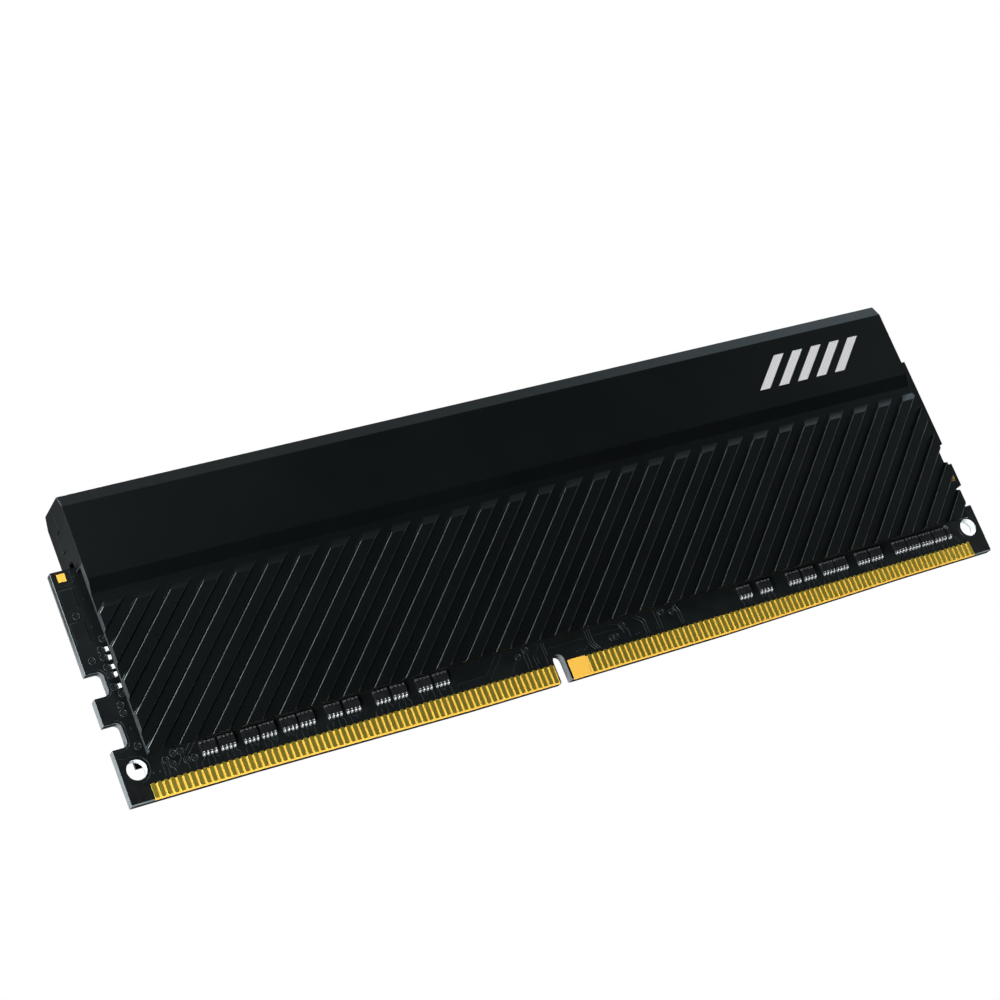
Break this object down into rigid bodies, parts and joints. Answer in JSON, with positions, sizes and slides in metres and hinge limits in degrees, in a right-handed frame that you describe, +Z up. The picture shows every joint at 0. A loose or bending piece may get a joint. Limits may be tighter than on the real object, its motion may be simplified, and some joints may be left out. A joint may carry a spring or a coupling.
{
  "type": "ram module",
  "caption": "Slim computer memory module: circuit board with an edge connector, clad in a two-part black finned metal heat spreader.",
  "frame": {"origin": "middle of the module's box in X and Y, at the lowest point of the connector edge", "axes": "+X along the module, +Y through its thickness from the front face to the back face, +Z up from the connector edge to the heat spreader's ridge"},
  "size_m": [0.1334, 0.0082, 0.0398],
  "materials": {
    "spreader": "satin black anodised aluminium",
    "laminate": "cut edge of glass fibre laminate",
    "solder_mask": "satin black solder mask",
    "gold": "gold plating",
    "chip_package": "moulded epoxy, fine matte grain",
    "thermal_pad": "soft silicone sheet",
    "tin": "tin-plated terminal with solder",
    "ceramic": "sintered ceramic",
    "resistor_body": "black protective glaze",
    "emblem": "silver printed bars"
  },
  "bodies": {
    "root": {"capacitor_terminals_back": "tin", "capacitor_terminals_front": "tin", "capacitors_back": "ceramic", "capacitors_front": "ceramic", "circuit_board": "laminate", "contacts_back_long_group": "gold", "contacts_back_short_group": "gold", "contacts_front_long_group": "gold", "contacts_front_short_group": "gold", "corner_resistor": "resistor_body", "corner_resistor_terminals": "tin", "end_resistor_terminals": "tin", "end_resistors": "resistor_body", "heat_spreader_back": "spreader", "heat_spreader_front": "spreader", "identity_chip": "chip_package", "key_side_pad": "gold", "memory_chip_back_1": "chip_package", "memory_chip_back_2": "chip_package", "memory_chip_back_3": "chip_package", "memory_chip_back_4": "chip_package", "memory_chip_back_5": "chip_package", "memory_chip_back_6": "chip_package", "memory_chip_back_7": "chip_package", "memory_chip_back_8": "chip_package", "memory_chip_front_1": "chip_package", "memory_chip_front_2": "chip_package", "memory_chip_front_3": "chip_package", "memory_chip_front_4": "chip_package", "memory_chip_front_5": "chip_package", "memory_chip_front_6": "chip_package", "memory_chip_front_7": "chip_package", "memory_chip_front_8": "chip_package", "resistor_array_terminals_back": "tin", "resistor_array_terminals_front": "tin", "resistor_arrays_back": "resistor_body", "resistor_arrays_front": "resistor_body", "solder_mask_back": "solder_mask", "solder_mask_front": "solder_mask", "stripe_emblem_back": "emblem", "stripe_emblem_front": "emblem", "test_pads": "gold", "thermal_pad_back": "thermal_pad", "thermal_pad_front": "thermal_pad"}
  },
  "joints": []
}
